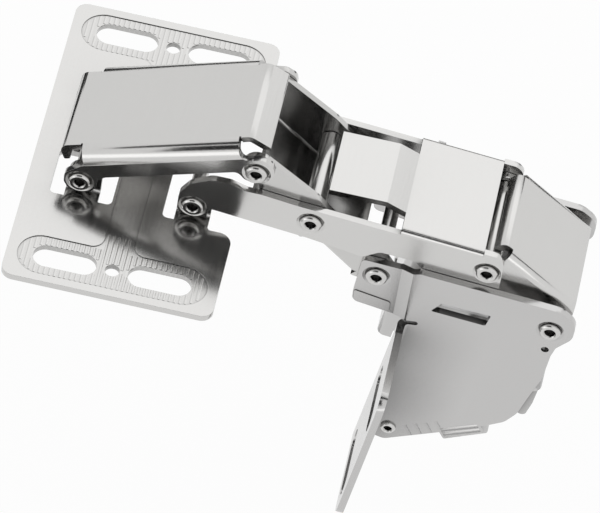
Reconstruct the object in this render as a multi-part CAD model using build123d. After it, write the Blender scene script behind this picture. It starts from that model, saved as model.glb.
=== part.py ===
from build123d import *
from math import atan2, cos, degrees, hypot, radians, sin, tan
import os

# Surface-mounted multi-link spring hinge, drawn fully open. Millimetres.
# Origin: centre of the case plate's screw pattern, on the face that meets the board.
# X runs out along the arm, Y runs along the pivots, Z leaves the board.

# Case plate
plate_length = 60.0
plate_width = 34.5
plate_sheet = 1.2
plate_corner = 2.0
notch_corner = 2.2
screw_slot_width = 4.35
screw_slot_length = 10.4
screw_slot_spacing = 15.5
screw_row_spacing = 49.2
pilot_hole_diameter = 2.4
window_half_length = 11.5
window_bridge = 4.0
rail_width = 4.0
bridge_left = -2.95
bridge_right = 5.35
notch_side_gap = 12.2
recess_length = 31.0
recess_width = 7.9
recess_neck = 5.0
recess_depth = 0.15

# Sheet stock and the gaps between the layers that slide on each other
link_sheet = 1.1
bracket_sheet = 1.2
layer_gap = 0.1
inner_half_width = 9.25
arm_half_width = inner_half_width + layer_gap + link_sheet
bracket_half_width = arm_half_width + layer_gap + bracket_sheet

# Pivots, as (X, Z) at rest
pivot_height = 4.15
cover_foot = (-8.62, pivot_height)
arm_foot = (9.96, pivot_height)
cover_length = 29.95
cover_angle = 21.75
arm_middle = (29.12, 6.21)
arm_pitch = (29.23, -2.69)
swing_pitch = (11.98, -9.27)

# Rivets and their fits
axle_radius = 1.25
axle_clearance = 0.05
head_radius = 1.75
head_height = 0.55
head_bore_radius = 0.85
head_bore_depth = 1.6
head_rim_round = 0.25
head_mouth = 0.2
dish_radius = 2.35
dish_depth = 0.25
sleeve_wall = 0.5
sleeve_end_gap = 0.1
washer_radius = 2.3

# Ears
lug_width = 5.6
lug_bend = 0.5
ear_radius = 2.5

# Cover link
cover_web_height = 6.0
cover_bend = 2.6
cover_skirt = 0.55
cover_lip_reach = 2.3
cover_lip_half_width = 8.1
cover_lip_drop = 3.1
cover_end_drop = 3.9
cover_notch = 1.7

# Long arm
arm_web_height = 4.25
arm_web_width = 13.7
arm_bend = 0.9
arm_arch_gap = 1.35
tongue_half_width = 6.4
tongue_length = 12.8

# Inner link and end link
inner_web_depth = 5.7
inner_low_web_depth = 3.35
inner_low_web_start = 3.7
inner_low_web_end = 13.5
inner_bend = 1.6
inner_wall_height = 3.2
end_web_height = 5.05

# Bracket
wing_reach = 29.9
wing_height = 31.6
wing_tilt = 6.6
wing_slot_width = 4.4
wing_slot_length = 13.0
wing_slot_rows = (9.2, 27.0)
wing_slot_middle = 21.3
wing_corner = 3.0
bottom_tab_length = 7.5
bottom_tab_drop = 2.2
bottom_tab_reach = 8.3
spring_pin = (47.85, -38.79)
spring_pin_radius = 0.95

# Springs
spring_wire = 1.1
spring_coil_radius = 1.95
spring_turns = 6
spring_pitch = 1.25
spring_foot_angle = 10.5
spring_foot_length = 13.0

Y_AXIS = (0, 1, 0)


def shifted(point, step):
    return (point[0] + step[0], point[1] + step[1])


def around(pivot, *steps):
    """Corners of an outline, given as steps from the pivot that they belong to."""
    return [shifted(pivot, step) for step in steps]


cover_head = shifted(
    cover_foot,
    (cover_length * cos(radians(cover_angle)), cover_length * sin(radians(cover_angle))),
)
arm_end = shifted(arm_middle, arm_pitch)
bracket_front = shifted(arm_middle, swing_pitch)
bracket_back = shifted(arm_end, swing_pitch)
swing_length = hypot(*swing_pitch)
swing_angle = degrees(atan2(swing_pitch[1], swing_pitch[0]))
arm_angle = degrees(atan2(arm_pitch[1], arm_pitch[0]))
arm_span = hypot(*arm_pitch)
inner_angle = degrees(atan2(arm_middle[1] - cover_head[1], arm_middle[0] - cover_head[0]))
inner_length = hypot(arm_middle[0] - cover_head[0], arm_middle[1] - cover_head[1])


def side_plane(origin=(0, 0), angle=0.0):
    """A plane square to Y: its x follows a link and its y stands up from it."""
    direction = (cos(radians(angle)), 0, sin(radians(angle)))
    return Plane(origin=(origin[0], 0, origin[1]), x_dir=direction, z_dir=(0, -1, 0))


def outline(points, radii):
    """A closed face through the points, each corner rounded by its own radius.

    A corner's arc takes at most half of the shorter side beside it.
    """
    fitted = []
    for i, radius in enumerate(radii):
        before, corner, after = points[i - 1], points[i], points[(i + 1) % len(points)]
        into = (corner[0] - before[0], corner[1] - before[1])
        out = (after[0] - corner[0], after[1] - corner[1])
        cross = into[0] * out[1] - into[1] * out[0]
        turn = abs(atan2(cross, into[0] * out[0] + into[1] * out[1]))
        room = 0.49 * min(hypot(*into), hypot(*out)) / tan(turn / 2)
        fitted.append(min(radius, room))
    return make_face(FilletPolyline(*points, radius=fitted, close=True))


def slab(plane, face, low, high):
    """The face, drawn in a side plane, made solid from Y = low to Y = high."""
    return extrude(plane.offset(-low) * face, amount=low - high)


def across(solid):
    return mirror(solid, about=Plane.XZ)


def both_sides(solid):
    return solid + across(solid)


def disc(plane, centre, radius, low, high):
    return slab(plane, Pos(*centre) * Circle(radius), low, high)


def channel(plane, start, end, half, web, skirt, sheet, bend):
    """A folded U: its web stands at the height web, and its flanges run to skirt."""
    rise = abs(web - skirt)
    middle = (web + skirt) / 2
    side = 1 if web > skirt else -1
    outer = Pos(0, middle) * Rectangle(2 * half, rise)
    corners = outer.vertices().group_by(Axis.Y)[-1 if side > 0 else 0]
    outer = fillet(corners, bend)
    hollow = Pos(0, middle - side * sheet) * Rectangle(2 * (half - sheet), rise)
    corners = hollow.vertices().group_by(Axis.Y)[-1 if side > 0 else 0]
    hollow = fillet(corners, max(bend - sheet, 0.2))
    section = Plane(origin=plane.origin, x_dir=Y_AXIS, z_dir=plane.x_dir)
    return extrude(section.offset(start) * (outer - hollow), amount=end - start)


def bored(solid, pivot, half, dished=False):
    """The solid with an axle hole at the pivot, dished round it on the outside."""
    plane = side_plane(pivot)
    solid -= disc(plane, (0, 0), axle_radius + axle_clearance, -half - 1, half + 1)
    if dished:
        for face in (-half, half):
            inward = dish_depth if face < 0 else -dish_depth
            cone = Cone(dish_radius, head_radius, dish_depth)
            turn = -90 if inward > 0 else 90
            seat = Pos(pivot[0], face + inward / 2, pivot[1]) * Rot(X=turn)
            solid -= seat * cone
    return solid


def rivet(pivot, half, radius=axle_radius, head=head_radius, bore=head_bore_radius):
    """A hollow-ended axle, rolled over outside the sheets at Y = -half and half."""
    end = half + head_height
    seat = half + layer_gap / 4
    profile = [
        (0, 0), (radius, 0), (radius, seat), (head, seat), (head, end - head_rim_round),
        (head - head_rim_round, end), (bore + head_mouth, end), (bore, end - head_mouth),
        (bore, end - head_bore_depth), (0, end - head_bore_depth),
    ]
    plane = Plane(origin=(pivot[0], 0, pivot[1]), x_dir=(1, 0, 0), z_dir=(0, 0, 1))
    turned = revolve(
        plane * make_face(Polyline(*profile, close=True)),
        Axis((pivot[0], 0, pivot[1]), Y_AXIS),
    )
    return both_sides(turned)


def ear_rivet(pivot, half, sheet):
    """The near one of two short rivets that end flush with the inside of the outer ears."""
    inside = half - sheet
    plane = side_plane(pivot)
    return rivet(pivot, half) & disc(plane, (0, 0), head_radius + 1, -half - 5, -inside)


def sleeve(pivot, half):
    """A spacer tube that keeps two flanges apart on their axle."""
    inner = axle_radius + axle_clearance
    plane = side_plane(pivot)
    reach = half - sleeve_end_gap
    tube = disc(plane, (0, 0), inner + sleeve_wall, -reach, reach)
    return tube - disc(plane, (0, 0), inner, -half, half)


def joggled(plane, near, far, start, ramp, low, high, sheet):
    """A flange in plan: its outer face is at Y = near up to start, then steps to far."""
    left, right = -90.0, 90.0
    points = [
        (left, near), (start, near), (start + ramp, far), (right, far),
        (right, far + sheet), (start + ramp, far + sheet), (start, near + sheet),
        (left, near + sheet),
    ]
    plan = Plane(origin=plane.origin, x_dir=plane.x_dir, z_dir=plane.y_dir)
    flat = make_face(Polyline(*points, close=True))
    return extrude(plan.offset(low) * flat, amount=high - low)


def rounded_slot(length, width):
    return SlotOverall(length, width)


def mounting_plate():
    plate = Rectangle(plate_width, plate_length)
    plate = fillet(plate.vertices(), plate_corner)
    half_row = screw_row_spacing / 2
    for y in (-half_row, half_row):
        for x in (-screw_slot_spacing / 2, screw_slot_spacing / 2):
            plate -= Pos(x, y) * rounded_slot(screw_slot_length, screw_slot_width)
        plate -= Pos(0, y) * Circle(pilot_hole_diameter / 2)
    left_edge = rail_width - plate_width / 2
    window_length = window_half_length - window_bridge / 2
    window_middle = (window_half_length + window_bridge / 2) / 2
    for side in (-1, 1):
        opening = Rectangle(bridge_left - left_edge, window_length)
        opening = fillet(opening.vertices(), 0.9)
        plate -= Pos((bridge_left + left_edge) / 2, side * window_middle) * opening
    notch = outline(
        [
            (bridge_right, -window_half_length), (12.75, -window_half_length),
            (13.3, -notch_side_gap), (plate_width, -notch_side_gap),
            (plate_width, notch_side_gap), (13.3, notch_side_gap),
            (12.75, window_half_length), (bridge_right, window_half_length),
        ],
        [0.9, 0.3, 0.3, 0, 0, 0.3, 0.3, 0.9],
    )
    plate -= notch
    corners = plate.vertices().group_by(Axis.X)[-1]
    plate = fillet([v for v in corners if abs(abs(v.Y) - notch_side_gap) < 0.01], notch_corner)
    solid = extrude(plate, amount=plate_sheet) - recess()
    solid += both_sides(lug(cover_foot, -8.0))
    solid += both_sides(lug(arm_foot, 10.15))
    for pivot in (cover_foot, arm_foot):
        solid = bored(solid, pivot, inner_half_width)
    return solid


def lug(pivot, middle):
    """One ear, folded up out of the window on the near side."""
    outer = lug_bend + plate_sheet
    face = -inner_half_width
    section = Plane(origin=(middle - lug_width / 2, 0, 0), x_dir=Y_AXIS, z_dir=(1, 0, 0))
    top = pivot[1] + lug_width / 2
    lug_root = -window_half_length - 0.5
    strip = outline(
        [
            (lug_root, 0), (face + plate_sheet, 0), (face + plate_sheet, top),
            (face, top), (face, plate_sheet), (lug_root, plate_sheet),
        ],
        [0, outer, 0, 0, lug_bend, 0],
    )
    blank = extrude(section * strip, amount=lug_width)
    plane = side_plane((middle, pivot[1]))
    trim = Pos(0, lug_width / 4 + 1) * Rectangle(lug_width + 2, lug_width / 2 + 2)
    trim -= Pos(0, -1) * Rectangle(lug_width + 3, 2.2)
    trim -= Circle(lug_width / 2)
    trim -= Pos(0, -lug_width / 2) * Rectangle(lug_width, lug_width)
    return blank - slab(plane, trim, face - 1, face + plate_sheet + 1)


def recess():
    """The shallow recess round each row of slots, and the neck that joins the two rows."""
    half_row = screw_row_spacing / 2
    outline_face = Rectangle(recess_neck, screw_row_spacing)
    for y in (-half_row, half_row):
        outline_face += Pos(0, y) * SlotOverall(recess_length, recess_width)
    inner = [
        v for v in outline_face.vertices()
        if abs(abs(v.X) - recess_neck / 2) < 0.01 and abs(abs(v.Y) - half_row) < half_row
    ]
    outline_face = fillet(inner, 2.0)
    return Pos(0, 0, plate_sheet - recess_depth) * extrude(outline_face, amount=recess_depth + 1)


def cover_link():
    plane = side_plane(cover_foot, cover_angle)
    half = arm_half_width
    flat = half - cover_bend
    fold_start = 1.8
    fold_end = cover_length - cover_notch
    body = channel(
        plane, -5, cover_length + 5, half, cover_web_height, -4, link_sheet, cover_bend
    )
    side = outline(
        [
            (fold_start, 3.6), (0.4, 3.05), (-2.0, 2.1), (-ear_radius - 0.2, 0.2),
            (-ear_radius + 0.1, -1.6), (-1.2, -ear_radius), (1.3, -ear_radius),
            (ear_radius - 0.1, -1.5), (ear_radius + 0.5, cover_skirt - 0.5),
            (ear_radius + 2.0, cover_skirt), (cover_length - 3.0, cover_skirt),
            (cover_length - 2.4, -1.1), (cover_length - 1.2, -2.2), (cover_length + 1.2, -2.2),
            (cover_length + 2.9, -0.6), (cover_length + 3.2, 1.2), (cover_length + 1.9, 2.7),
            (cover_length + 0.2, 3.0), (cover_length - 1.2, 3.1),
            (fold_end, 4.3), (fold_end, cover_web_height + 1),
            (fold_start, cover_web_height + 1),
        ],
        [
            0.5, 1.2, 1.4, 1.4, 1.2, 1.2, 1.2, 1.2, 0.8, 1,
            1.2, 1.1, 1.1, 1.6, 1.4, 1.4, 1.4, 1.4, 0.8, 0.8, 0, 0,
        ],
    )
    body &= slab(plane, side, -half - 1, half + 1)
    left = -cover_lip_reach
    drop = cover_web_height - cover_lip_drop
    crease = cover_length + 0.35
    end_x = crease + cover_end_drop * cos(radians(48))
    end_y = cover_web_height - cover_end_drop * sin(radians(48))
    inset_x = link_sheet * sin(radians(48))
    inset_y = link_sheet * cos(radians(48))
    lid = outline(
        [
            (left, drop), (left, cover_web_height), (crease, cover_web_height),
            (end_x, end_y), (end_x - inset_x, end_y - inset_y),
            (crease - 0.45, cover_web_height - link_sheet),
            (left + link_sheet, cover_web_height - link_sheet), (left + link_sheet, drop),
        ],
        [0.3, 2.3, 1.6, 0.3, 0.3, 0.5, 1.2, 0.3],
    )
    lip = slab(plane, lid, -cover_lip_half_width, cover_lip_half_width)
    middle = Pos((fold_start + fold_end) / 2, cover_web_height)
    relief = fold_end - fold_start + 0.6
    middle = slab(plane, middle * Rectangle(relief, 6), -half, half)
    body += lip - middle
    body += slab(plane, lid, -flat, flat)
    for pivot in (cover_foot, cover_head):
        body = bored(body, pivot, half, dished=True)
    return body


def long_arm():
    plane = side_plane()
    half = arm_half_width
    sheet = link_sheet
    frame = side_plane(arm_end, arm_angle)
    web_end = -1.45
    web_start = web_end - arm_web_width
    arch = cover_head[1] - ear_radius - arm_arch_gap - arm_foot[1]
    side = outline(
        around(
            arm_foot, (-2.46, arch - 4.8), (-0.96, arch - 2.1), (2.44, arch), (5.44, arch),
            (8.24, arch - 0.95), (10.64, arch - 0.95),
        )
        + around(arm_middle, (-2.52, 3.44), (14.5, 1.95))
        + around(
            arm_end, (-14.6, 5.78), (-1.45, 4.43), (2.4, 4.08), (2.4, -4.47), (-9.55, -3.37),
            (-11.55, -1.02), (-17.45, -0.62), (-20.15, -2.67),
        )
        + around(arm_middle, (-0.02, -3.71))
        + around(
            arm_foot, (3.04, 0.2), (2.44, -0.95), (2.5, -1.95), (-0.06, -2.5),
            (-2.46, -1.95),
        ),
        [1.5, 2.5, 2.5, 2, 1.5, 1.5, 3, 0.3, 0.3, 0.5,
         3.0, 0.6, 0.5, 1.2, 1.5, 0.8, 4, 0.5, 0.3, 0.3, 2.0, 1.5],
    )
    walls = slab(plane, side, -half, half)
    walls -= Box(200, 2 * (half - sheet), 200)
    folded = channel(
        frame, web_start, web_end, half, arm_web_height, -12, sheet, arm_bend
    )
    keep_walls = walls - slab(
        frame,
        Pos((web_start + web_end) / 2, arm_web_height) * Rectangle(arm_web_width, 2.6),
        -half - 1, half + 1,
    )
    body = keep_walls + (folded & slab(
        frame,
        Pos((web_start + web_end) / 2, arm_web_height) * Rectangle(arm_web_width, 2.6),
        -half - 1, half + 1,
    ))
    body += tongue(frame, web_start)
    for pivot, dish in ((arm_foot, True), (arm_middle, True), (arm_end, True)):
        body = bored(body, pivot, half, dish)
    return body


def tongue(frame, web_start):
    """The narrow tongue that the inner link closes over, stepped up from the web."""
    top = arm_web_height
    rise = 1.15
    strip = make_face(Polyline(
        (web_start + 1.0, top), (web_start, top), (web_start - 3.4, top + rise),
        (web_start - tongue_length, top + rise - 0.9),
        (web_start - tongue_length, top + rise - 0.9 - link_sheet),
        (web_start - 3.4 - 0.2, top + rise - link_sheet),
        (web_start - 0.3, top - link_sheet), (web_start + 1.0, top - link_sheet),
        close=True,
    ))
    return slab(frame, strip, -tongue_half_width, tongue_half_width)


def inner_link():
    plane = side_plane(arm_middle, inner_angle)
    half = inner_half_width
    step = inner_low_web_start - 1.0
    body = channel(
        plane, -inner_length - 4, step, half, -inner_web_depth, 8, link_sheet, inner_bend
    )
    body += channel(
        plane, step, inner_low_web_end, half, -inner_low_web_depth, 8, link_sheet, inner_bend
    )
    flanges = Pos((inner_low_web_end + 24) / 2, 0) * Rectangle(24 - inner_low_web_end, 16)
    body += both_sides(slab(plane, flanges, -half, link_sheet - half))
    front = swing_length * cos(radians(swing_angle - inner_angle))
    rise = swing_length * sin(radians(swing_angle - inner_angle))
    side = outline(
        [
            (-8.7, -inner_web_depth - 1), (-8.9, -3.6), (-10.6, -2.2),
            (-inner_length - 0.6, -ear_radius - 0.1), (-inner_length - 2.6, -0.8),
            (-inner_length - 2.5, 1.3), (-inner_length - 1.0, 2.6), (-3, inner_wall_height + 0.6),
            (2.6, inner_wall_height + 0.3), (front - 1.0, rise + 3.1),
            (front + 2.9, rise + 2.2), (front + 2.9, rise - 1.8),
            (inner_low_web_end + 0.3, -inner_low_web_depth - 0.01),
            (step + 0.8, -inner_low_web_depth - 0.01), (step - 0.6, -inner_web_depth - 1),
        ],
        [0, 1.5, 1.5, 2, 2, 2, 2, 3, 3, 2.6, 2.4, 2.6, 0.6, 1.5, 0],
    )
    body &= slab(plane, side, -half - 1, half + 1)
    body -= slab(plane, Circle(4.6), -6.6, 6.6)
    gap = Pos(step + 0.35, -inner_low_web_depth) * Rectangle(1.3, 2.5)
    body -= slab(plane, gap, -half + inner_bend, half - inner_bend)
    for pivot in (cover_head, arm_middle, bracket_front):
        body = bored(body, pivot, half)
    return body


def end_link():
    plane = side_plane(arm_end, swing_angle)
    half = inner_half_width
    web = end_web_height
    flat = half - inner_bend
    body = channel(plane, -6, 22, half, web, -8, link_sheet, inner_bend)
    side = outline(
        [
            (0.3, web + 1), (0.3, 2.9), (-1.9, 1.9), (-2.5, -0.6), (-1.2, -2.4),
            (1.6, -2.6), (swing_length - 1.5, -2.9), (swing_length + 2.2, -2.0),
            (swing_length + 2.9, 0.6), (swing_length + 1.2, 3.2), (swing_length - 0.6, web + 1),
        ],
        [0, 0.3, 1.4, 1.8, 1.8, 3, 2.6, 2, 2, 1.5, 0],
    )
    body &= slab(plane, side, -half - 1, half + 1)
    lip = outline(
        [
            (-1.6, 2.6), (-1.6, web), (3.0, web), (3.0, web - link_sheet),
            (-0.5, web - link_sheet), (-0.5, 2.6),
        ],
        [0.3, 1.8, 0, 0, 0.7, 0.3],
    )
    body += slab(plane, lip, -flat, flat)
    body = bored(body, arm_end, half)
    return bored(body, bracket_back, half)


def bracket():
    half = bracket_half_width
    sheet = bracket_sheet
    step = sheet
    plane = side_plane()
    wall_plan = joggled(
        plane, -half + step, -half, bracket_front[0] + 3.8, 2.0, -60, 20, sheet
    )
    fold = bracket_front[1] - 8.32
    wall_plan &= Pos(0, 0, fold + 50) * Box(300, 300, 100)
    wall_plan += Pos(0, sheet / 2 - half, fold - 50) * Box(300, sheet, 100)
    side = outline(
        around(bracket_front, (-2.75, 3.41), (3.5, 3.06), (6.9, 4.26))
        + around(
            bracket_back, (-2.83, 5.4), (1.1, 5.05), (3.9, 2.9), (3.75, -0.9), (1.5, -3.9),
            (1.0, -6.0), (0.47, -12.25), (-0.43, -15.45), (-1.18, -18.25), (-2.23, -22.45),
            (-3.93, -25.25), (-6.93, -27.35),
        )
        + around(spring_pin, (8.35, 1.39), (-0.35, -3.31), (-3.2, -2.6), (-1.3, 14.8))
        + around(bracket_front, (5.9, -8.5), (3.4, -8.15), (-3.2, -7.0), (-3.3, -4.6)),
        [0.8, 0.5, 1, 2, 3, 3.2, 3, 1.2, 1.2, 3, 2, 4, 4, 3, 3, 4, 1.4, 2, 0.4, 0.4, 2, 1.2, 0.3],
    )
    wall = wall_plan & slab(plane, side, -half - 0.5, -half + step + sheet + 0.5)
    wing_plane = side_plane(wing_top(), -90 - wing_tilt)
    near = wall + wing(wing_plane) + bottom_tab() + stop_ear() + pressed_step()
    near -= louver_slit()
    near -= relief_slot()
    near += louver_strip()
    body = both_sides(near)
    body += back_web()
    for pivot, face in ((bracket_front, half - step), (bracket_back, half)):
        body = bored(body, pivot, face, dished=True)
    pin_hole = spring_pin_radius + axle_clearance
    body -= disc(side_plane(spring_pin), (0, 0), pin_hole, -half - 1, half + 1)
    corner_hole = Pos(*shifted(bracket_back, (-0.15, -4.75)))
    body -= slab(plane, corner_hole * Circle(0.65), -half - 1, half + 1)
    return body


def bottom_tab():
    """The tab folded inwards along the near wall's lower edge, where the spring bears."""
    half = bracket_half_width
    sheet = bracket_sheet
    start = shifted(spring_pin, (8.7, 1.1))
    angle = radians(30.2)
    section = Plane(
        origin=(start[0], 0, start[1]), x_dir=Y_AXIS, z_dir=(cos(angle), 0, sin(angle))
    )
    reach = half - bottom_tab_reach
    shape = outline(
        [
            (-half, 1.5), (-half, -bottom_tab_drop), (-reach, -bottom_tab_drop),
            (-reach, sheet - bottom_tab_drop), (sheet - half, sheet - bottom_tab_drop),
            (sheet - half, 1.5),
        ],
        [0, 1.5, 0.3, 0.3, 0.4, 0],
    )
    return extrude(section * shape, amount=bottom_tab_length)


def stop_ear():
    """A small rounded ear that hangs from the back fold, just inside the near wall."""
    face = bracket_half_width - bracket_sheet
    ear = outline(
        around(
            bracket_back, (-2.0, -15.0), (-2.3, -21.0), (-2.3, -23.7), (-0.9, -23.7),
            (-0.1, -20.3), (0.5, -15.0),
        ),
        [0, 2, 0.75, 0.75, 3, 0],
    )
    return slab(side_plane(), ear, -face - 0.02, 1.0 - face)


def pressed_step():
    """The low step pressed across the front ear, under its rivet."""
    face = bracket_half_width - bracket_sheet
    step = outline(
        around(bracket_front, (-3.15, -4.3), (3.0, -5.5), (3.0, -7.9), (-3.0, -6.9)),
        [0.3, 0.5, 0.5, 0.9],
    )
    return slab(side_plane(), step, -face - 0.15, 0.3 - face)


def louver_slit():
    """The slit lanced through the near wall below its top edge."""
    half = bracket_half_width
    slit = outline(
        around(bracket_front, (9.7, -4.1), (11.2, -1.75), (19.4, -2.15), (18.8, -4.85)),
        [0.2, 0.4, 0.2, 0.4],
    )
    return slab(side_plane(), slit, -half - 1, bracket_sheet - half + 0.2)


def louver_strip():
    """The strip pressed inwards from the slit, still joined to the wall above it."""
    half = bracket_half_width
    sheet = bracket_sheet
    start = shifted(bracket_front, (11.3, -1.9))
    section = Plane(origin=(start[0], 0, start[1]), x_dir=Y_AXIS, z_dir=(0.999, 0, -0.05))
    shape = make_face(Polyline(
        (0.1 - half, 0.6), (0.1 - half, 0.3), (sheet - half + 0.6, -2.6),
        (sheet - half + 1.5, -2.3), (sheet - half, 0.6), close=True,
    ))
    return extrude(section * shape, amount=7.9)


def relief_slot():
    """The relief at the top of the wing's fold."""
    place = Pos(*shifted(bracket_front, (6.1, -8.25))) * Rot(Z=8)
    slot = slab(side_plane(), place * SlotOverall(4.0, 0.9), -40, 0)
    return slot & Pos(bracket_front[0] + 6.1, -bracket_half_width, 0) * Box(30, 5, 200)


def wing_top():
    return shifted(bracket_front, (4.9, -8.24))


def wing(plane):
    """The near wing: it folds out of the wall and stands out to the side."""
    half = bracket_half_width
    sheet = bracket_sheet
    radius = 1.0
    corner = plane.origin
    section = Plane(origin=corner, x_dir=Y_AXIS, z_dir=plane.x_dir)
    inward = 1 if section.y_dir.X > 0 else -1
    deep = inward * 2.5
    thick = inward * sheet
    shape = outline(
        [
            (-wing_reach, 0), (-half + sheet, 0), (-half + sheet, deep), (-half, deep),
            (-half, thick), (-wing_reach, thick),
        ],
        [0, radius + sheet, 0, 0, radius, 0],
    )
    body = extrude(section * shape, amount=wing_height)
    flat = Plane(origin=corner, x_dir=plane.x_dir, z_dir=section.y_dir)
    out = -1 if flat.y_dir.Y > 0 else 1
    middle = out * wing_slot_middle
    for row in wing_slot_rows:
        slot = flat * Pos(row, middle) * Rot(Z=90) * SlotOverall(wing_slot_length, wing_slot_width)
        body -= extrude(slot, amount=5, both=True)
    sheet_face = Rectangle(wing_height, wing_reach * 2)
    sheet_face = fillet(sheet_face.vertices(), wing_corner)
    return body & extrude(flat * Pos(wing_height / 2, 0) * sheet_face, amount=9, both=True)


def back_web():
    """The fold that joins the two walls behind, below the rear axle."""
    half = bracket_half_width
    sheet = bracket_sheet
    low, high = bracket_back[1] - 15.9, bracket_back[1] - 5.6
    face = bracket_back[0] + 0.75
    section = Plane(origin=(face, 0, low), x_dir=Y_AXIS, z_dir=(0, 0, 1))
    shape = outline(
        [
            (-half, 6), (-half, 0), (half, 0), (half, 6), (half - sheet, 6),
            (half - sheet, sheet), (-half + sheet, sheet), (-half + sheet, 6),
        ],
        [0, 1.6, 1.6, 0, 0, 0.5, 0.5, 0],
    )
    turned = extrude(section * shape, amount=high - low)
    if turned.bounding_box().max.X > face + 0.1:
        turned = mirror(turned, about=Plane(origin=(face, 0, 0), z_dir=(1, 0, 0)))
    return turned


def washer(pivot):
    """The near washer, between the inner link's ear and the bracket's wall."""
    ring = Circle(washer_radius) - Circle(axle_radius + axle_clearance)
    low = bracket_sheet + layer_gap / 2 - bracket_half_width
    high = -inner_half_width - layer_gap / 2
    return slab(side_plane(pivot), ring, low, high)


def shouldered_pin(pivot):
    """The spring's pin: a thick shank between the walls, with thin ends riveted through them."""
    ends = rivet(pivot, bracket_half_width, spring_pin_radius, 1.3, 0.6)
    reach = bracket_half_width - bracket_sheet - layer_gap / 2
    shank = spring_coil_radius - spring_wire / 2 - layer_gap
    return ends + disc(side_plane(pivot), (0, 0), shank, -reach, reach)


def closing_spring():
    """A torsion spring: one leg bears on the bottom tab, the other on the rear sleeve."""
    to_sleeve = (bracket_back[0] - spring_pin[0], bracket_back[1] - spring_pin[1])
    sleeve_radius = axle_radius + axle_clearance + sleeve_wall
    aside = spring_coil_radius + sleeve_radius + spring_wire / 2 + layer_gap
    top_angle = degrees(atan2(to_sleeve[1], to_sleeve[0]) + aside / hypot(*to_sleeve))
    start_angle = spring_foot_angle + 90
    sweep_angle = 360 * spring_turns + (top_angle - 90 - start_angle) % 360
    width = spring_pitch * sweep_angle / 360
    path = Helix(pitch=spring_pitch, height=width, radius=spring_coil_radius)
    foot = Plane(origin=path @ 0, z_dir=path % 0) * Circle(spring_wire / 2)
    top = Plane(origin=path @ 1, z_dir=path % 1) * Circle(spring_wire / 2)
    spring = sweep(foot, path=path, is_frenet=True)
    spring += extrude(foot, amount=-spring_foot_length)
    spring += extrude(top, amount=hypot(*to_sleeve))
    spring = Rot(Z=start_angle) * spring
    return Pos(spring_pin[0], width / 2 + 2.0, spring_pin[1]) * Rot(X=90) * spring


def main():
    os.makedirs("parts", exist_ok=True)
    half = arm_half_width
    parts = {
        "mounting_plate": mounting_plate(),
        "cover_link": cover_link(),
        "long_arm": long_arm(),
        "inner_link": inner_link(),
        "end_link": end_link(),
        "bracket": bracket(),
        "cover_foot_axle": rivet(cover_foot, half),
        "arm_foot_axle": rivet(arm_foot, half),
        "cover_head_near_rivet": ear_rivet(cover_head, half, link_sheet),
        "cover_head_far_rivet": across(ear_rivet(cover_head, half, link_sheet)),
        "arm_middle_axle": rivet(arm_middle, half),
        "arm_end_axle": rivet(arm_end, half),
        "bracket_front_axle": rivet(bracket_front, bracket_half_width - bracket_sheet),
        "bracket_back_axle": rivet(bracket_back, bracket_half_width),
        "arm_middle_sleeve": sleeve(arm_middle, inner_half_width - link_sheet),
        "arm_end_sleeve": sleeve(arm_end, inner_half_width - link_sheet),
        "bracket_back_sleeve": sleeve(bracket_back, inner_half_width - link_sheet),
        "bracket_back_near_washer": washer(bracket_back),
        "bracket_back_far_washer": across(washer(bracket_back)),
        "closing_spring": closing_spring(),
        "spring_pin": shouldered_pin(spring_pin),
    }
    for name, solid in parts.items():
        export_step(solid, f"parts/{name}.step")
        print(name, round(solid.volume, 1), len(solid.solids()))


main()
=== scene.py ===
import math

import bmesh
import bpy
from mathutils import Matrix, Vector


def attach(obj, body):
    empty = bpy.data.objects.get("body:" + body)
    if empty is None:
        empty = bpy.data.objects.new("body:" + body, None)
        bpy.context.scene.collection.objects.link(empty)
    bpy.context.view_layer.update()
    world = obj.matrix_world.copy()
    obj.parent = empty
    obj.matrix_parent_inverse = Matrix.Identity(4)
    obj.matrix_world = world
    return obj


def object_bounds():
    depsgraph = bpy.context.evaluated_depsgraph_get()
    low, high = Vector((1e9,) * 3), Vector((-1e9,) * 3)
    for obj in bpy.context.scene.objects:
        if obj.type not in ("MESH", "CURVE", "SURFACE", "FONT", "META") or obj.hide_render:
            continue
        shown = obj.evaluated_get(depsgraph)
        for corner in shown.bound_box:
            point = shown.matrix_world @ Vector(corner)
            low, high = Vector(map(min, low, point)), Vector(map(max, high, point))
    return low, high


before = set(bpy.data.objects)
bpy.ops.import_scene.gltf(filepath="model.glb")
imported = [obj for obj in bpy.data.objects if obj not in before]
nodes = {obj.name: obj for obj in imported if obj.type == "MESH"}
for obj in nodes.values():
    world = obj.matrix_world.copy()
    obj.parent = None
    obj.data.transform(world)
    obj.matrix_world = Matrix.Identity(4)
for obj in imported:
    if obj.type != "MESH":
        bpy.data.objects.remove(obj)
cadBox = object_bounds()
print("frame loaded:", len(nodes), "nodes")


class Wire:
    # one value in a node tree; sums on it add Math nodes
    def __init__(self, tree, socket):
        self.tree = tree
        self.socket = socket

    def sum(self, operation, first, second):
        return mathNode(self.tree, operation, first, second)

    def __add__(self, other):
        return self.sum("ADD", self, other)

    __radd__ = __add__

    def __mul__(self, other):
        return self.sum("MULTIPLY", self, other)

    __rmul__ = __mul__

    def __sub__(self, other):
        return self.sum("SUBTRACT", self, other)

    def __rsub__(self, other):
        return self.sum("SUBTRACT", other, self)


def makeNode(tree, kind, settings, inputs):
    # settings go on the node, inputs are values or wires by socket name or place
    node = tree.nodes.new(kind)
    for name, value in settings.items():
        setattr(node, name, value)
    pairs = inputs.items() if isinstance(inputs, dict) else enumerate(inputs)
    for name, value in pairs:
        if isinstance(value, Wire):
            tree.links.new(value.socket, node.inputs[name])
        else:
            node.inputs[name].default_value = value
    return [Wire(tree, socket) for socket in node.outputs]


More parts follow.
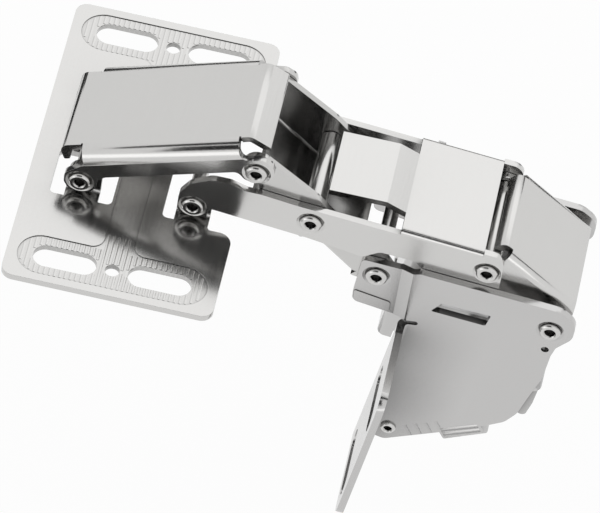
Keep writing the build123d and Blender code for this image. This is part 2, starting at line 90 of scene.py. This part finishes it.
def mathNode(tree, operation, *values):
    return makeNode(tree, "ShaderNodeMath", {"operation": operation}, list(values))[0]


def between(tree, value, low, high):
    above = mathNode(tree, "GREATER_THAN", value, low)
    return above * mathNode(tree, "LESS_THAN", value, high)


def waves(tree, operation, distance, pitch):
    # 0 to 1 and back, once for each pitch
    return mathNode(tree, operation, distance * (2 * math.pi / pitch)) * 0.5 + 0.5


# metres on the case plate: ribs in the recess round the slots, and in its neck.
# floor is how high the recess lies, row the distance of each row of slots from the middle
ribs = {
    "pitch": 0.00085, "width": 0.00050, "height": 0.00006, "sunk": 0.00002, "facets": 6,
    "floor": 0.00105, "halfLength": 0.01155, "halfWidth": 0.00378, "row": 0.0246,
    "neck": 0.0021, "reach": 0.007, "shortest": 0.0003, "start": -0.25,
}
# holes in each row, a little wider than they are: middle, half of the straight part, radius
rowHoles = [
    (-0.00775, 0.003025, 0.00226),
    (0.0, 0.0, 0.00129),
    (0.00775, 0.003025, 0.00226),
]
# the lower edge of the bracket's side walls, counted along it from the first punch mark
lowerEdge = {
    "first": (0.05056, -0.03742), "along": (0.883, 0.469), "wall": 0.0110, "depth": 0.00030,
}
punchMarks = {"pitch": 0.00185, "count": 4, "share": 0.6, "sharpness": 5.0}
tabBead = {"start": 0.0056, "end": 0.0122, "top": 0.0016, "pitch": 0.00105}


def ribGrooves(tree, place):
    # 0 on the flat, 1 at the bottom between two ribs
    x, y = makeNode(tree, "ShaderNodeSeparateXYZ", {}, [place])[:2]
    past = mathNode(tree, "MAXIMUM", mathNode(tree, "ABSOLUTE", x) - ribs["halfLength"], 0.0)
    off = mathNode(tree, "ABSOLUTE", y) - ribs["row"]
    gap = mathNode(tree, "SQRT", past * past + off * off)
    inRow = mathNode(tree, "LESS_THAN", gap, ribs["halfWidth"])
    inNeck = mathNode(tree, "LESS_THAN", mathNode(tree, "ABSOLUTE", x), ribs["neck"])
    nearRow = between(tree, off, -ribs["reach"], 0.0)
    wave = waves(tree, "SINE", x, ribs["pitch"])
    return mathNode(tree, "MAXIMUM", inRow, inNeck * nearRow) * wave


def edgeGrooves(tree, place):
    # four punch marks, then the bead along the tab
    x, y, z = makeNode(tree, "ShaderNodeSeparateXYZ", {}, [place])
    x = x - lowerEdge["first"][0]
    z = z - lowerEdge["first"][1]
    right, up = lowerEdge["along"]
    along = x * right + z * up
    down = x * up - z * right
    pitch = punchMarks["pitch"]
    last = (punchMarks["count"] - 0.5) * pitch
    wave = waves(tree, "COSINE", along, pitch)
    marks = mathNode(tree, "POWER", wave, punchMarks["sharpness"])
    marks = marks * between(tree, along, -0.5 * pitch, last)
    marks = marks * mathNode(tree, "GREATER_THAN", down, 0.0)
    bead = waves(tree, "COSINE", down - tabBead["top"], tabBead["pitch"])
    bead = bead * between(tree, along, tabBead["start"], tabBead["end"])
    bead = bead * mathNode(tree, "GREATER_THAN", down, tabBead["top"])
    outside = mathNode(tree, "GREATER_THAN", mathNode(tree, "ABSOLUTE", y), lowerEdge["wall"])
    return (marks * punchMarks["share"] + bead) * outside


# what all the steels share: noise that is drawn out along the pivots, and broad clouds
grain = {
    "stretch": (1.0, 0.06, 1.0), "scale": 2600.0, "detail": 3.0, "depth": 0.000004,
    "roughness": 0.06, "shade": 0.3,
}
clouds = {"scale": 60.0, "detail": 4.0, "roughness": 0.08, "shade": 0.4}
# dull and bright are the ends of the steel's colour, and grooves pull it to the dull end as
# painted shade
tones = {"dull": 0.94, "bright": 1.05, "groove": 1.2}
# reach, steepness and samples of the painted shade in the insides of the folds
cavity = {"reach": 0.014, "power": 1.5, "samples": 8}


def toned(color, factor):
    return tuple(min(part * factor, 1) for part in color) + (1,)


def nickelSteel(name, color, roughness, cavityShadeLevel=0.08, grooves=None, grooveDepth=0):
    material = bpy.data.materials.new(name)
    material.use_nodes = True
    tree = material.node_tree
    shader = tree.nodes["Principled BSDF"]
    shader.inputs["Metallic"].default_value = 1.0
    place = makeNode(tree, "ShaderNodeTexCoord", {}, {})[3]
    drawn = makeNode(
        tree, "ShaderNodeMapping", {}, {"Vector": place, "Scale": grain["stretch"]}
    )[0]
    lines = makeNode(
        tree, "ShaderNodeTexNoise", {},
        {"Vector": drawn, "Scale": grain["scale"], "Detail": grain["detail"]},
    )[0]
    cloud = makeNode(
        tree, "ShaderNodeTexNoise", {},
        {"Vector": place, "Scale": clouds["scale"], "Detail": clouds["detail"]},
    )[0]
    rough = roughness + (cloud - 0.5) * clouds["roughness"] + (lines - 0.5) * grain["roughness"]
    tree.links.new(rough.socket, shader.inputs["Roughness"])
    shade = (cloud - 0.5) * clouds["shade"] + (lines - 0.5) * grain["shade"] + 0.5
    if grooves:
        # painted shade: the grooves are painted darker, on the plate only in colour, on the
        # bracket with a bump as well
        groove = grooves(tree, place)
        shade = shade - groove * tones["groove"]
    dull = toned(color, tones["dull"])
    bright = toned(color, tones["bright"])
    paint = makeNode(
        tree, "ShaderNodeMix", {"data_type": "RGBA"}, {"Factor": shade, 6: dull, 7: bright}
    )[2]
    # painted shade: the insides of the folds are painted darker than the rest, the more enclosed
    # the darker
    openness = makeNode(
        tree, "ShaderNodeAmbientOcclusion",
        {"samples": cavity["samples"], "only_local": True}, {"Distance": cavity["reach"]},
    )[1]
    openness = mathNode(tree, "POWER", openness, cavity["power"])
    paintedShadeColor = toned(color, cavityShadeLevel)
    paint = makeNode(
        tree, "ShaderNodeMix", {"data_type": "RGBA"}, {"Factor": openness, 6: paintedShadeColor, 7: paint}
    )[2]
    tree.links.new(paint.socket, shader.inputs["Base Color"])
    bump = makeNode(
        tree, "ShaderNodeBump", {},
        {"Strength": 1.0, "Distance": grain["depth"], "Height": lines},
    )[0]
    if grooveDepth:
        bump = makeNode(
            tree, "ShaderNodeBump", {},
            {"Strength": 1.0, "Distance": grooveDepth, "Height": 1 - groove, "Normal": bump},
        )[0]
    tree.links.new(bump.socket, shader.inputs["Normal"])
    return material


nickel = (0.60, 0.595, 0.585)
sheetFinish = {
    "plate": {"color": nickel, "roughness": 0.16, "grooves": ribGrooves},
    "ribs": {"color": nickel, "roughness": 0.16},
    "cover": {"color": nickel, "roughness": 0.18},
    "arm": {"color": (0.62, 0.615, 0.605), "roughness": 0.20},
    "inner": {"color": (0.58, 0.575, 0.565), "roughness": 0.20},
    "bracket": {
        "color": (0.54, 0.535, 0.53), "roughness": 0.20,
        "grooves": edgeGrooves, "grooveDepth": lowerEdge["depth"],
    },
    # the rivets take less painted shade in their hollows
    "rivet": {"color": nickel, "roughness": 0.18, "cavityShadeLevel": 0.35},
    "spring": {"color": (0.40, 0.39, 0.38), "roughness": 0.32},
}
finishOf = {
    "mounting_plate": "plate",
    "cover_link": "cover",
    "long_arm": "arm",
    "inner_link": "inner",
    "end_link": "arm",
    "bracket": "bracket",
    "closing_spring": "spring",
}
wornEdge = {"width": 0.00012, "segments": 2, "angle": math.radians(40), "join": 0.000002}


def softenEdges(thing):
    # the sheet's sheared edges and the rivets' rims are a little worn
    weld = thing.modifiers.new("join", "WELD")
    weld.merge_threshold = wornEdge["join"]
    bevel = thing.modifiers.new("wornEdge", "BEVEL")
    bevel.width = wornEdge["width"]
    bevel.segments = wornEdge["segments"]
    bevel.limit_method = "ANGLE"
    bevel.angle_limit = wornEdge["angle"]


steels = {name: nickelSteel("steel." + name, **values) for name, values in sheetFinish.items()}
for name, thing in nodes.items():
    thing.data.materials.clear()
    thing.data.materials.append(steels[finishOf.get(name, "rivet")])
    softenEdges(thing)
print("finishes made:", len(steels))


def halfWidthAt(x, centre, straight, radius):
    past = max(abs(x - centre) - straight, 0.0)
    return math.sqrt(max(radius ** 2 - past ** 2, 0.0))


def ribRuns(x):
    # where one rib starts and ends, counted outwards from the row's middle line
    sides = [x - ribs["width"] / 2, x, x + ribs["width"] / 2]
    outer = min(halfWidthAt(side, 0.0, ribs["halfLength"], ribs["halfWidth"]) for side in sides)
    inner = ribs["reach"] if abs(x) < ribs["neck"] else outer
    hole = max(halfWidthAt(side, *place) for side in sides for place in rowHoles)
    runs = [(-inner, -hole), (hole, outer)] if hole else [(-inner, outer)]
    return [(start, end) for start, end in runs if end - start > ribs["shortest"]]


def addRib(form, x, start, end):
    # a low round ridge, closed below, its foot sunk in the floor of the recess
    ridge = bmesh.ops.create_grid(form, x_segments=ribs["facets"], y_segments=1, size=0.5)["verts"]
    middleY = (start + end) / 2
    for vert in ridge:
        across, along = vert.co.x, vert.co.y
        height = ribs["height"] * math.cos(math.pi * across)
        vert.co = (
            x + across * ribs["width"], middleY + along * (end - start), ribs["floor"] + height,
        )
    top = list({face: 0 for vert in ridge for face in vert.link_faces})
    edges = list({edge: 0 for face in top for edge in face.edges})
    below = bmesh.ops.extrude_face_region(form, geom=ridge + edges + top, use_keep_orig=True)
    for part in below["geom"]:
        if isinstance(part, bmesh.types.BMVert):
            part.co.z = ribs["floor"] - ribs["sunk"]


def sortByPlace(elements, place):
    # the extrusion lists them in another order on each run
    for rank, element in enumerate(sorted(elements, key=place)):
        element.index = rank
    elements.sort()


def buildRibs(material):
    mesh = bpy.data.meshes.new("plateRibs")
    form = bmesh.new()
    count = int((ribs["halfLength"] + ribs["halfWidth"]) / ribs["pitch"]) + 1
    for step in range(-count, count + 1):
        x = (step + ribs["start"]) * ribs["pitch"]
        for start, end in ribRuns(x):
            addRib(form, x, ribs["row"] + start, ribs["row"] + end)
            addRib(form, x, -ribs["row"] - end, -ribs["row"] - start)
    bmesh.ops.recalc_face_normals(form, faces=form.faces)
    sortByPlace(form.edges, lambda edge: tuple(edge.verts[0].co + edge.verts[1].co))
    sortByPlace(form.faces, lambda face: tuple(face.calc_center_median()))
    openEdges = sum(not edge.is_manifold for edge in form.edges)
    print("plate ribs:", len(form.faces), "faces, open edges:", openEdges)
    form.to_mesh(mesh)
    form.free()
    mesh.materials.append(material)
    thing = bpy.data.objects.new("plateRibs", mesh)
    bpy.context.scene.collection.objects.link(thing)
    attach(thing, "plate")


buildRibs(steels["ribs"])

middle = (0.027, 0.0, -0.012)
studio = {
    "floorDrop": 0.03,
    "floorSize": (24, 24),
    "floorShown": 0.93,
    "floorCloth": 0.85,
    "roomLight": 0.85,
    "back": {"toward": (0.12, 0.64, 0.76), "reach": 0.9, "size": (0.9, 0.6), "radiance": 0.3},
    "front": {"toward": (-0.25, -0.93, 0.20), "reach": 0.6, "size": (1.4, 0.22), "radiance": 0.6},
}
# black cards that only the metal sees: metres, and the way that each one faces
flags = {
    "camera": {
        "place": (-0.10, -0.28, 0.34), "faces": (0.0, -0.62, 0.78),
        "size": (0.38, 0.24), "shade": 0.03,
    },
    "overhead": {
        "place": (0.16, -0.052, 0.29), "faces": (0, 0, 1),
        "size": (1.10, 0.09), "shade": 0.02,
    },
    "backLow": {
        "place": (0.03, 0.54, 0.04), "faces": (0, 1, 0),
        "size": (0.9, 0.22), "shade": 0.05,
    },
    "leftLow": {
        "place": (-0.16, 0.16, -0.015), "faces": (-0.75, 0.65, 0),
        "size": (0.18, 0.13), "shade": 0.05,
    },
}


def gray(shade):
    return (shade, shade, shade, 1)


def floorMaterial(name):
    # rays that see the floor take white, and the light that falls on it takes the cloth
    material = bpy.data.materials.new(name)
    material.use_nodes = True
    tree = material.node_tree
    tree.nodes.remove(tree.nodes["Principled BSDF"])
    ray = makeNode(tree, "ShaderNodeLightPath", {}, {})
    seen = (ray[0] + ray[3] + ray[6]) * studio["floorShown"]
    lamp = makeNode(tree, "ShaderNodeEmission", {}, {"Color": gray(1), "Strength": 1.0})[0]
    cloth = makeNode(tree, "ShaderNodeBsdfDiffuse", {}, {"Color": gray(studio["floorCloth"])})[0]
    mixed = makeNode(tree, "ShaderNodeMixShader", {}, [seen, cloth, lamp])[0]
    tree.links.new(mixed.socket, tree.nodes["Material Output"].inputs["Surface"])
    return material


def blackCloth(name, shade):
    material = bpy.data.materials.new(name)
    material.use_nodes = True
    shader = material.node_tree.nodes["Principled BSDF"]
    shader.inputs["Base Color"].default_value = gray(shade)
    shader.inputs["Roughness"].default_value = 1.0
    shader.inputs["Specular IOR Level"].default_value = 0.0
    return material


def buildSheet(name, size, turn, material):
    mesh = bpy.data.meshes.new(name)
    form = bmesh.new()
    bmesh.ops.create_grid(form, x_segments=1, y_segments=1, size=0.5)
    bmesh.ops.scale(form, verts=form.verts, vec=(size[0], size[1], 1))
    bmesh.ops.transform(form, matrix=turn, verts=form.verts)
    form.to_mesh(mesh)
    form.free()
    mesh.materials.append(material)
    sheet = bpy.data.objects.new(name, mesh)
    bpy.context.scene.collection.objects.link(sheet)
    return sheet


def buildWorld(strength):
    # rays that see the room take white, and the light that falls from it is weaker
    world = bpy.data.worlds.new("studio")
    bpy.context.scene.world = world
    world.use_nodes = True
    tree = world.node_tree
    back = tree.nodes["Background"]
    back.inputs["Color"].default_value = gray(1)
    ray = makeNode(tree, "ShaderNodeLightPath", {}, {})
    seen = makeNode(
        tree, "ShaderNodeMath", {"operation": "ADD", "use_clamp": True},
        [ray[0] + ray[3], ray[6]],
    )[0]
    level = strength + seen * (1.0 - strength)
    tree.links.new(level.socket, back.inputs["Strength"])


def facing(place, normal):
    # a frame at that place, its long side level
    ahead = Vector(normal).normalized()
    side = Vector((1, 0, 0)) if abs(ahead.x) < 0.7 else Vector((0, 1, 0))
    along = (side - side.dot(ahead) * ahead).normalized()
    turn = Matrix((along, ahead.cross(along), ahead)).transposed().to_4x4()
    return Matrix.Translation(place) @ turn


def softBox(name, toward, reach, size, radiance):
    lamp = bpy.data.lights.new(name, "AREA")
    lamp.shape = "RECTANGLE"
    lamp.size, lamp.size_y = size
    lamp.energy = radiance * math.pi * size[0] * size[1]
    box = bpy.data.objects.new(name, lamp)
    bpy.context.scene.collection.objects.link(box)
    aim = Vector(toward).normalized()
    box.matrix_world = facing(Vector(middle) + aim * reach, aim)


def flagCard(name, place, faces, size, shade):
    card = buildSheet(name, size, facing(place, faces), blackCloth(name, shade))
    card.visible_camera = False
    card.visible_diffuse = False
    card.visible_shadow = False


floorPlace = Matrix.Translation((0, 0, cadBox[0][2] - studio["floorDrop"]))
buildSheet("floor", studio["floorSize"], floorPlace, floorMaterial("floor"))
buildWorld(studio["roomLight"])
softBox("backBox", **studio["back"])
softBox("frontBox", **studio["front"])
for name, flag in flags.items():
    flagCard("flag." + name, **flag)
print("studio built")

cameraView = {
    "place": (0.05695, -0.6032, 0.7028),
    "right": (0.976, 0.184, 0.115),
    "forward": (-0.031, 0.643, -0.765),
    "lens": 343.1,
    "sensor": 36,
    "farthest": 50,
}


def buildCamera(place, right, forward, lens, sensor, farthest):
    ahead = Vector(forward).normalized()
    side = Vector(right)
    side = (side - side.dot(ahead) * ahead).normalized()
    up = side.cross(ahead)
    data = bpy.data.cameras.new("camera")
    data.sensor_width = sensor
    data.lens = lens
    data.clip_end = farthest
    camera = bpy.data.objects.new("camera", data)
    bpy.context.scene.collection.objects.link(camera)
    turn = Matrix((side, up, -ahead)).transposed().to_4x4()
    camera.matrix_world = Matrix.Translation(place) @ turn
    bpy.context.scene.camera = camera


buildCamera(**cameraView)
bpy.context.scene.view_settings.view_transform = "Standard"
print("camera set")
